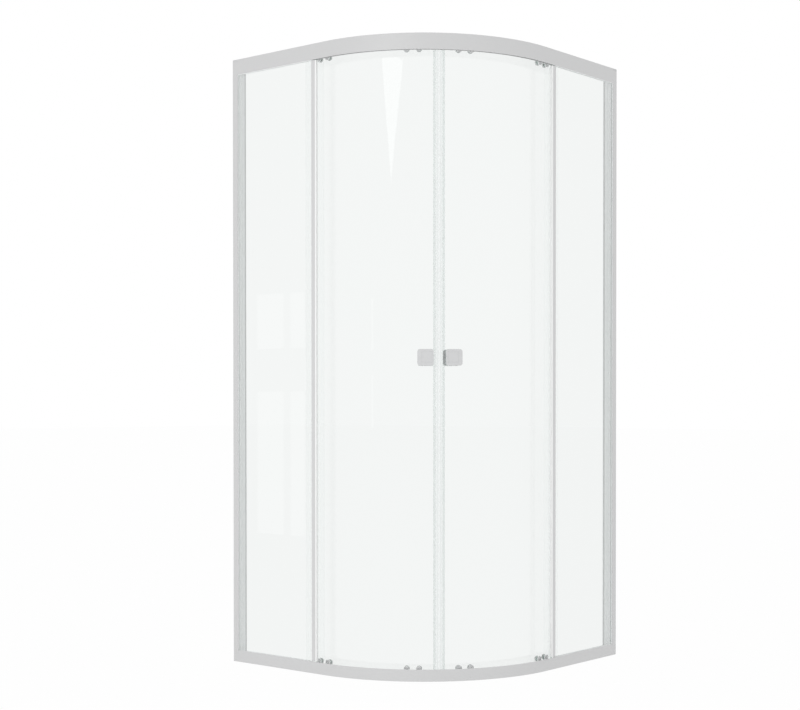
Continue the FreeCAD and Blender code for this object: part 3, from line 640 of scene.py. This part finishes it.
def lathe_rule(name, corners):
    """A tree that turns one outline and repeats it on every place it is given."""
    tree = bpy.data.node_groups.new(name, "GeometryNodeTree")
    sizes = sorted({size for corner in corners for size in corner if size})
    sockets = [("Places", "INPUT", "Geometry"), ("Piece", "OUTPUT", "Geometry")]
    sockets += [(size, "INPUT", "Float") for size in sizes + ["Rounding"]]
    sockets += [("Finish", "INPUT", "Material")]
    for label, way, kind in sockets:
        tree.interface.new_socket(label, in_out=way, socket_type=f"NodeSocket{kind}")
    given = add(tree, "NodeGroupInput").outputs
    outward = add(tree, "GeometryNodeInputNamedAttribute", data_type="FLOAT_VECTOR",
                  Name="outward")
    aimed = add(tree, "FunctionNodeAlignRotationToVector", axis="Z")
    join(tree, outward.outputs[0], aimed, "Vector")
    repeated = add(tree, "GeometryNodeInstanceOnPoints")
    join(tree, given["Places"], repeated, "Points")
    join(tree, turned_piece(tree, given, corners), repeated, "Instance")
    join(tree, aimed.outputs[0], repeated, "Rotation")
    real = add(tree, "GeometryNodeRealizeInstances")
    join(tree, repeated.outputs[0], real, "Geometry")
    painted = add(tree, "GeometryNodeSetMaterial")
    join(tree, real.outputs[0], painted, "Geometry")
    join(tree, given["Finish"], painted, "Material")
    join(tree, painted.outputs[0], add(tree, "NodeGroupOutput"), "Piece")
    return tree


print("the lathe rule is ready for an outline")

# %% [markdown]
# A rule is grown on a few loose points, each of which knows its way out.  What it
# makes becomes a plain mesh, and the points are thrown away.

# %% Growing a rule


def turn_pieces(name, rule, places, sizes, finish, body):
    """Grow a rule on its places (a point and the way out of the door) into one mesh."""
    guide = bpy.data.meshes.new(name)
    guide.from_pydata([point for point, outward in places], [], [])
    guide.materials.append(finish)
    ways = guide.attributes.new("outward", "FLOAT_VECTOR", "POINT")
    for row, (point, outward) in enumerate(places):
        ways.data[row].vector = outward
    holder = put_in_scene(name, guide)
    grown = holder.modifiers.new("lathe rule", "NODES")
    grown.node_group = rule
    values = {**sizes, "Finish": finish}
    for socket in rule.interface.items_tree:
        if socket.name in values:
            grown[socket.identifier] = values[socket.name]
    graph = bpy.context.evaluated_depsgraph_get()
    mesh = bpy.data.meshes.new_from_object(holder.evaluated_get(graph))
    bpy.data.objects.remove(holder)
    mesh.shade_smooth()
    piece = put_in_scene(name, mesh)
    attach(piece, body)
    return piece


print("ready to turn bolts and wheels")

# %% [markdown]
# ## Where the bolts and wheels are
#
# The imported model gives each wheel's box, and its middle is a point on the axle.
# An axle points squarely through the door: straight at the wall beyond the flat
# end of a door, and at the bow's centre on the bow.  From there the bolts lie to
# the left and right at their own height.  On the bow the pane is hollow, so a cap
# stands a little further in.

# %% Bolt and wheel places
WHEEL_DEPTH = 0.0245     # from the rail's outer face to the middle of a wheel
GLASS_FACE = 0.051       # from there to the inner face of a door
PLATE_DEPTH = 0.041      # from there to the outer face of a bracket's plate
BOLT_HALF_PITCH = 0.019
CAP_RADIUS = 0.009
HOLLOW = 0.0009          # how far the bow falls away under a cap


def way_out(point):
    """The level direction that leads squarely out through the door at that point."""
    aside = Vector((max(point.x - BOW_CENTRE[0], 0.0), min(point.y - BOW_CENTRE[1], 0.0), 0.0))
    return aside.normalized()


def wheel_place(node):
    """The middle of a wheel and its way out."""
    low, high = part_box(node)
    middle = (Vector(low) + Vector(high)) / 2
    return middle, way_out(middle)


def bolt_places(side, depth, extra):
    """The eight bolts of a door at a depth; the ones on the bow lie further in by extra."""
    low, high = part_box(f"{side}_glass_bolts")
    heights = {"top": high[2] - CAP_RADIUS, "bottom": low[2] + CAP_RADIUS}
    places = []
    for level, height in heights.items():
        for end in ("lead", "tail"):
            middle, outward = wheel_place(f"{side}_{level}_{end}_wheel")
            inward_by = depth - WHEEL_DEPTH + (extra if end == "lead" else 0.0)
            along = Vector((-outward.y, outward.x, 0.0))
            for step in (-BOLT_HALF_PITCH, BOLT_HALF_PITCH):
                point = middle - outward * inward_by + along * step
                places.append((Vector((point.x, point.y, height)), outward))
    return places


print("way out at the left lead wheel:",
      [round(part, 3) for part in wheel_place("left_top_lead_wheel")[1]])

# %% [markdown]
# ## Bolts
#
# A bolt is a barrel that fills the hole in the pane and a round cap with a soft rim
# and a shallow turned recess.  On the outside, the flush head of its screw shows on
# the bracket's plate.  Cap and head come from the same outline with other sizes, and
# a head is given the way in as its way out, so that it looks outwards.

# %% Bolts
bolt_rule = lathe_rule("turned bolt", [
    ("", "Barrel End"), ("Barrel Radius", "Barrel End"),
    ("Barrel Radius", ""), ("Cap Radius", ""),
    ("Cap Radius", "Cap Top"), ("Recess Radius", "Cap Top"),
    ("Recess Radius", "Recess Floor"), ("", "Recess Floor")])
cap_sizes = {"Barrel End": -0.0059, "Barrel Radius": 0.00595,
             "Cap Radius": CAP_RADIUS, "Cap Top": 0.0055,
             "Recess Radius": 0.0055, "Recess Floor": 0.0049, "Rounding": 0.001}
head_sizes = {"Barrel End": -0.001, "Barrel Radius": 0.003,
              "Cap Radius": 0.0048, "Cap Top": 0.0006,
              "Recess Radius": 0.0022, "Recess Floor": 0.0002, "Rounding": 0.0003}
for side in ("left", "right"):
    caps = turn_pieces(f"{side}_bolt_caps", bolt_rule, bolt_places(side, GLASS_FACE, HOLLOW),
                       cap_sizes, finishes["bolt"], f"{side}_door")
    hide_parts(f"{side}_glass_bolts")
    outside = [(point, -outward) for point, outward in bolt_places(side, PLATE_DEPTH, 0.0)]
    turn_pieces(f"{side}_bolt_heads", bolt_rule, outside, head_sizes,
                finishes["bolt head"], f"{side}_door")
    print(side, "caps:", len(caps.data.polygons), "faces")

# %% [markdown]
# ## Wheels
#
# A nylon tyre is moulded round a shielded ball bearing.  The tyre is a plain ring
# with softened edges, and a thin waist that moulding leaves on its sides.  The
# bearing shows its two races and, set back between them, the shield.

# %% Wheels
tyre_rule = lathe_rule("wheel tyre", [
    ("Bore", "Near"), ("Hub", "Near"), ("Hub", "Near Waist"),
    ("Flank", "Near Waist"), ("Flank", "Near"), ("Tread", "Near"),
    ("Tread", "Far"), ("Flank", "Far"), ("Flank", "Far Waist"),
    ("Hub", "Far Waist"), ("Hub", "Far"), ("Bore", "Far"), ("Bore", "Near")])
bearing_rule = lathe_rule("shielded bearing", [
    ("Bore", "Near"), ("Inner Race", "Near"), ("Inner Race", "Near Shield"),
    ("Outer Race", "Near Shield"), ("Outer Race", "Near"), ("Outside", "Near"),
    ("Outside", "Far"), ("Outer Race", "Far"), ("Outer Race", "Far Shield"),
    ("Inner Race", "Far Shield"), ("Inner Race", "Far"), ("Bore", "Far"), ("Bore", "Near")])
tyre_sizes = {"Bore": 0.0052, "Hub": 0.0062, "Flank": 0.0080, "Tread": 0.0095,
              "Near": -0.0025, "Far": 0.0025, "Near Waist": -0.0021, "Far Waist": 0.0021,
              "Rounding": 0.0004}
bearing_sizes = {"Bore": 0.00255, "Inner Race": 0.0034, "Outer Race": 0.0045,
                 "Outside": 0.0052, "Near": -0.0024, "Far": 0.0024,
                 "Near Shield": -0.0019, "Far Shield": 0.0019, "Rounding": 0.0002}
bodies = frame["record"]["behaviour"]["bodies"]
body_of_node = {node: body for body, members in bodies.items() for node in members}
wheels = [node for node in sorted(frame["nodes"]) if node.endswith("_wheel")]
for node in wheels:
    place = [wheel_place(node)]
    body = body_of_node[node]
    tyre = turn_pieces(f"{node}_tyre", tyre_rule, place, tyre_sizes,
                       finishes["nylon"], body)
    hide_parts(node)
    turn_pieces(f"{node}_bearing", bearing_rule, place, bearing_sizes,
                finishes["bearing"], body)
print("tyres and bearings for", len(wheels), "wheels")

# %% [markdown]
# ## Studio
#
# The object stands on a plain white floor in even white light.  The world is white
# for the camera, and for what glass and metal show of it.  For the light that falls
# on the object it is a little lower.  The floor is seen as a white glow that keeps
# only a faint shadow, and it glows less for what it lights.

# %% World and floor
ROOM_LIGHT = 0.75             # the world's strength for what it lights
FLOOR_HALF = 40.0
FLOOR_LEVEL = -0.0005         # just below the rail, so that the two share no face
FLOOR_GLOW = (0.6, 0.97)      # the glow's share of the floor, as a light and as seen


def seen_share(tree):
    """1 for rays that look at something and 0 for the ones that light it."""
    path = add(tree, "ShaderNodeLightPath")
    return largest(tree, [path.outputs[f"Is {kind} Ray"]
                          for kind in ("Camera", "Glossy", "Transmission")])


def flat_panel(name, corners, material):
    """A flat panel of the studio, which is no part of the enclosure."""
    mesh = bpy.data.meshes.new(name)
    mesh.from_pydata(corners, [], [tuple(range(len(corners)))])
    mesh.materials.append(material)
    panel = put_in_scene(name, mesh)
    return panel


world = bpy.data.worlds.new("studio")
scene.world = world
world.use_nodes = True
sky = world.node_tree
background = set_up(sky.nodes["Background"], {"Color": (1.0, 1.0, 1.0, 1.0)})
join(sky, spread(sky, seen_share(sky), ROOM_LIGHT, 1.0), background, "Strength")

white, tree, paint = new_finish("studio floor", Base_Color=(0.93, 0.93, 0.93, 1.0),
                                Roughness=0.9)
glow = add(tree, "ShaderNodeEmission", Strength=1.0)
glow_share = spread(tree, seen_share(tree), *FLOOR_GLOW)
finish_with(tree, mix_shaders(tree, glow_share, paint.outputs[0], glow.outputs[0]))
flat_panel("floor", [(x * FLOOR_HALF, y * FLOOR_HALF, FLOOR_LEVEL)
                     for x, y in ((-1, -1), (1, -1), (1, 1), (-1, 1))], white)
scene.view_settings.view_transform = "Standard"
print("floor", 2 * FLOOR_HALF, "m wide under a world of strength", ROOM_LIGHT)

# %% [markdown]
# One large soft lamp adds direction: the faces that look to the left of the camera
# come out a little brighter than the ones that look to its right.  Panels that only
# reflections show stand in for the room's window.

# %% Lamp and reflections
AIM = Vector((0.0, 0.0, 1.0))    # the middle of the enclosure
WINDOW_Y = -2.5                  # the left fixed pane mirrors this window
WINDOW_COLUMNS = ((-2.48, -2.29), (-2.24, -2.14))
WINDOW_ROWS = ((0.168, 0.90), (1.12, 1.40))
SLIT_Y = -5.35                   # the left door mirrors these slits and the wedge
SLIT_SIDES = (-0.50, -0.36)
SLIT_ROWS = ((0.683, 1.021), (1.181, 1.512))
WEDGE = [(0.304, -5.236, 3.041), (1.854, -4.914, 3.038), (1.073, -5.218, 2.236)]
WINDOW_GLOW, SLIT_GLOW, WEDGE_GLOW = 1.3, 1.4, 2.0


def soft_lamp(name, place, size, power):
    """A square lamp that looks at the middle of the enclosure and is never seen."""
    data = bpy.data.lights.new(name, "AREA")
    data.shape = "SQUARE"
    data.size = size
    data.energy = power
    lamp = put_in_scene(name, data)
    lamp.location = place
    lamp.rotation_euler = (AIM - Vector(place)).to_track_quat("-Z", "Y").to_euler()
    for kind in ("camera", "glossy", "transmission"):
        setattr(lamp, f"visible_{kind}", False)


def bright_card(name, corners, strength):
    """A glowing panel that only shows as a reflection in glass and metal."""
    material, tree, unused = new_finish(name)
    tree.nodes.remove(unused)
    finish_with(tree, add(tree, "ShaderNodeEmission", Strength=strength).outputs[0])
    card = flat_panel(name, corners, material)
    for kind in ("camera", "diffuse", "transmission", "shadow"):
        setattr(card, f"visible_{kind}", False)


def upright_corners(sides, heights, y):
    """The corners of an upright panel between two sides and two heights."""
    (left, right), (bottom, top) = sides, heights
    return [(left, y, bottom), (right, y, bottom), (right, y, top), (left, y, top)]


soft_lamp("front lamp", (1.3, -4.7, 1.3), size=2.4, power=42.0)
for row, heights in enumerate(WINDOW_ROWS):
    for column, sides in enumerate(WINDOW_COLUMNS):
        corners = upright_corners(sides, heights, WINDOW_Y)
        bright_card(f"window_pane_{row}{column}", corners, WINDOW_GLOW)
bright_card("window_wedge", WEDGE, WEDGE_GLOW)
for row, heights in enumerate(SLIT_ROWS):
    corners = upright_corners(SLIT_SIDES, heights, SLIT_Y)
    bright_card(f"window_slit_{row}", corners, SLIT_GLOW)
print("lamp and", len(WINDOW_ROWS) * len(WINDOW_COLUMNS) + len(SLIT_ROWS) + 1, "panels")
